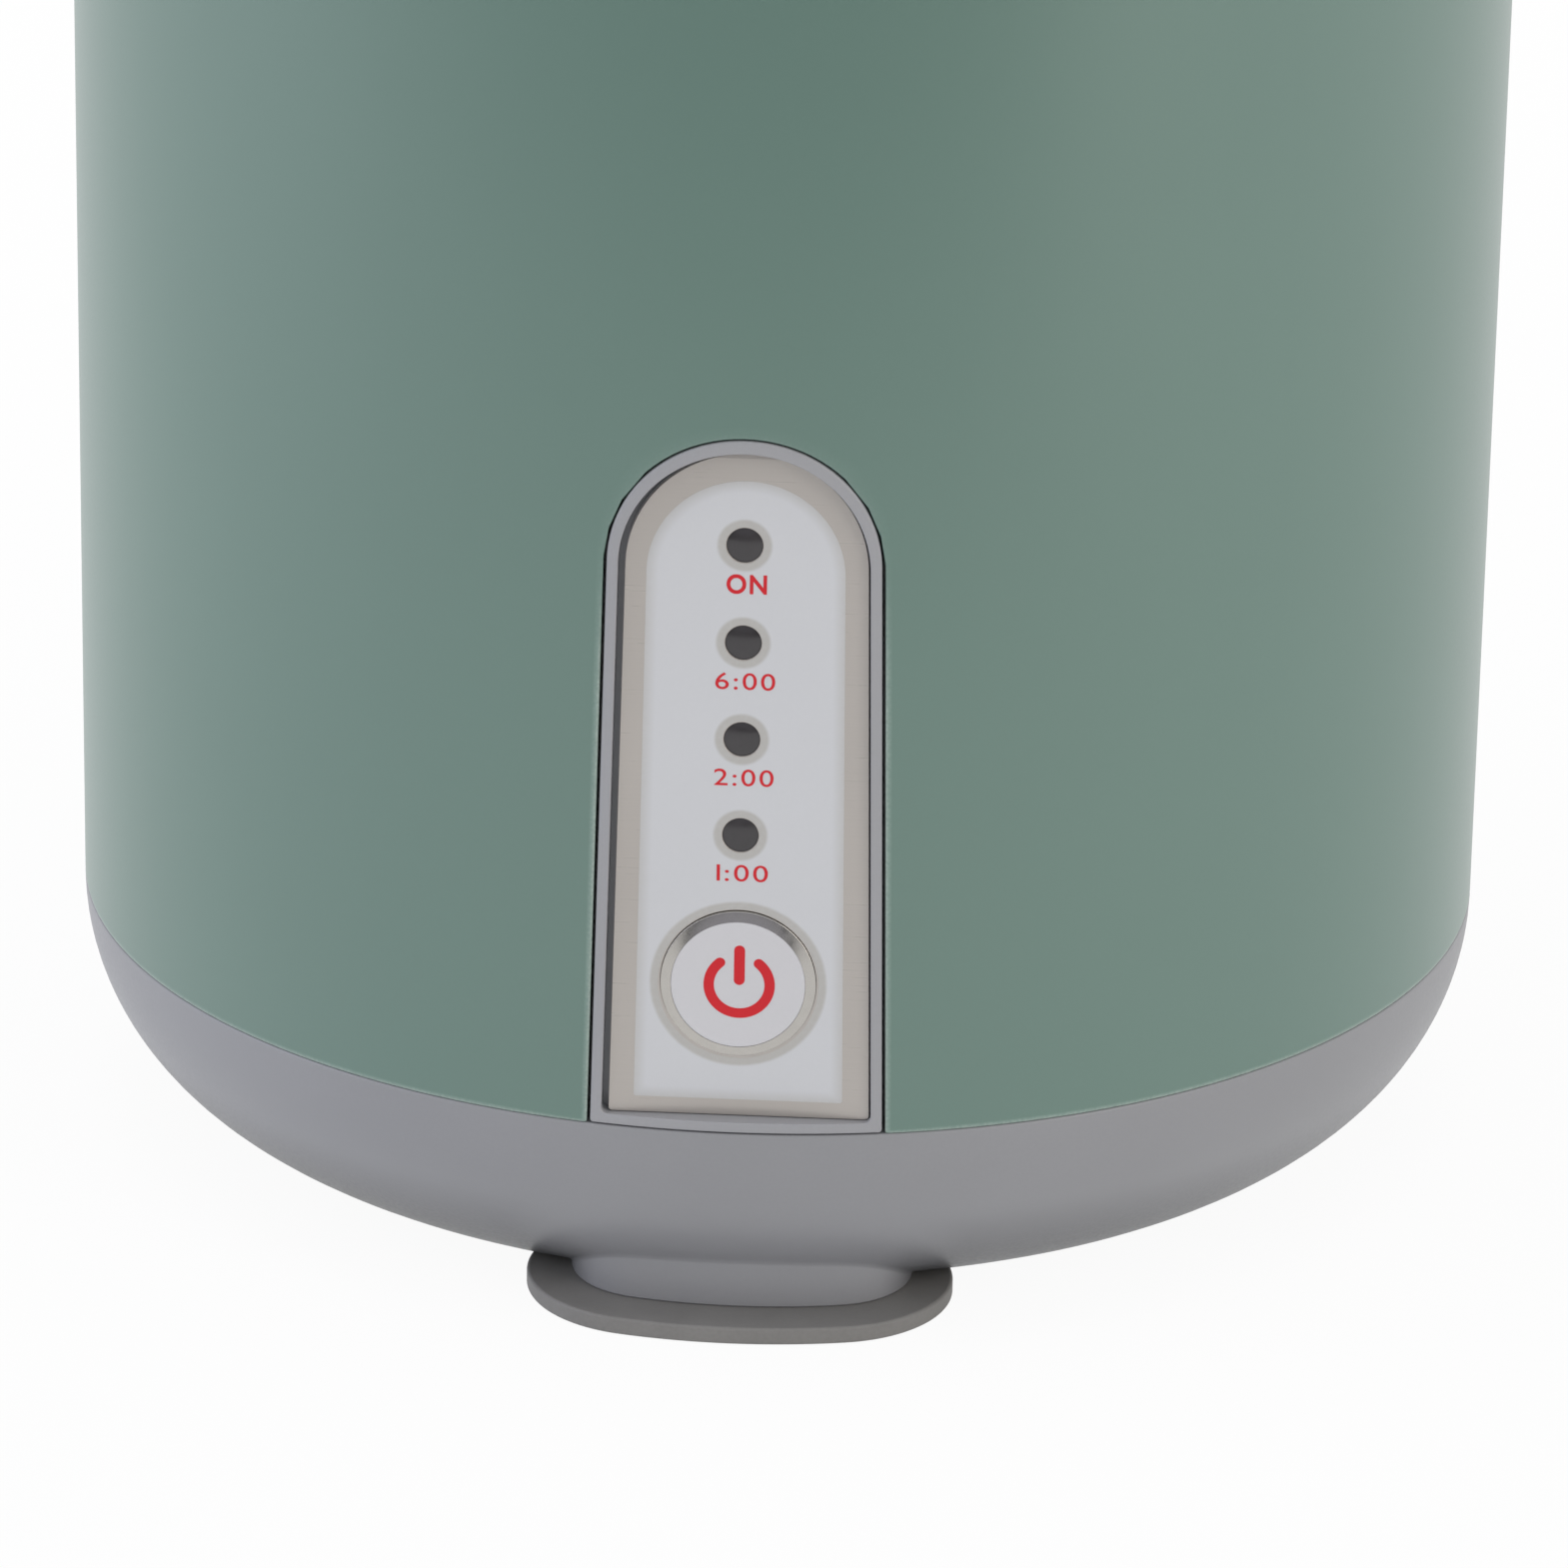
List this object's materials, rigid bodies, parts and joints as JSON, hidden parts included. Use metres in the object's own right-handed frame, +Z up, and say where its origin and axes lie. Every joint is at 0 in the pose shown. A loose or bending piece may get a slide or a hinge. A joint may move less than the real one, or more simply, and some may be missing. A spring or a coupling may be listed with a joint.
{
  "type": "electric bottle shaker",
  "caption": "Round countertop electric shaker that swings a feeding bottle in a lined cup; arched front panel with indicator windows and a push button, on oval rubber feet.",
  "frame": {"origin": "on the table, under the middle of the round body", "axes": "+Z up along the body's axis, -Y out of the front panel, +X to the right as seen from the front"},
  "size_m": [0.12, 0.12, 0.165],
  "materials": {
    "grey_abs": "satin moulded ABS, warm grey",
    "green_abs": "satin moulded ABS, sage green",
    "foot_rubber": "matt dark grey rubber",
    "brushed_plate": "brushed stainless steel with a white printed field",
    "polished_ring": "polished chrome plate",
    "smoked_lens": "smoked acrylic",
    "white_abs": "white ABS",
    "circuit_board": "green solder mask on glass laminate",
    "led_resin": "diffused clear resin",
    "black_plastic": "black moulded plastic",
    "nylon": "natural nylon",
    "deck_plastic": "natural ABS, inside only",
    "zinc_steel": "zinc-plated steel",
    "ground_steel": "ground steel",
    "brass": "brass",
    "bronze": "sintered bronze",
    "silicone": "soft silicone, pale grey green",
    "lead_black": "black wire sheath",
    "lead_red": "red wire sheath"
  },
  "bodies": {
    "housing": {"base_housing": "grey_abs", "foot_front": "foot_rubber", "foot_right": "foot_rubber", "foot_left": "foot_rubber", "base_screws": "zinc_steel", "outer_shell": "green_abs", "top_collar": "grey_abs", "panel_bezel": "grey_abs", "panel_plate": "brushed_plate", "indicator_lenses": "smoked_lens", "button_ring": "polished_ring", "control_board": "circuit_board", "indicator_leds": "led_resin", "tact_switch": "black_plastic", "controller_chip": "black_plastic", "board_connectors": "nylon", "board_screws": "zinc_steel", "gear_deck": "deck_plastic", "bearing_plate": "deck_plastic", "bearing_plate_screws": "zinc_steel", "motor_can": "zinc_steel", "motor_end_cap": "nylon", "motor_terminals": "brass", "motor_screws": "zinc_steel", "middle_axle": "ground_steel", "axle_washer": "zinc_steel", "lower_bush": "bronze", "upper_bush": "bronze", "thrust_washer": "nylon", "inlet_socket": "black_plastic", "inlet_pin": "ground_steel", "inlet_terminals": "brass", "inlet_leads": "lead_black", "motor_leads": "lead_red"},
    "cup": {"bottle_cup": "grey_abs", "cup_screws": "zinc_steel", "grip_liner": "silicone", "spindle": "ground_steel", "spindle_gear": "nylon", "gear_set_screw": "zinc_steel", "spindle_clip": "ground_steel"},
    "middle_gear_body": {"middle_gear": "nylon"},
    "rotor": {"motor_shaft": "ground_steel", "motor_pinion": "brass"},
    "button": {"button_cap": "white_abs", "switch_plunger": "black_plastic"}
  },
  "joints": [
    {"name": "cup_swing", "type": "hinge", "parent": "housing", "child": "cup", "pos_m": [0, 0, 0.0535], "axis": [0, 0, 1], "range_deg": [-90, 90]},
    {"name": "middle_gear_turn", "type": "hinge", "parent": "housing", "child": "middle_gear_body", "pos_m": [0, 0.028, 0.0585], "axis": [0, 0, 1], "range_deg": [-270, 270]},
    {"name": "motor_turn", "type": "hinge", "parent": "housing", "child": "rotor", "pos_m": [0.01723, 0.03104, 0.0535], "axis": [0, 0, 1], "range_deg": [-1080, 1080]},
    {"name": "button_press", "type": "slide", "parent": "housing", "child": "button", "axis": [0, 1, 0], "range_m": [0, 0.0005], "stiffness_N_per_m": 600}
  ],
  "couplings": [
    {"joint": "middle_gear_turn", "follows": "cup_swing", "ratio": -3},
    {"joint": "motor_turn", "follows": "cup_swing", "ratio": 12}
  ]
}
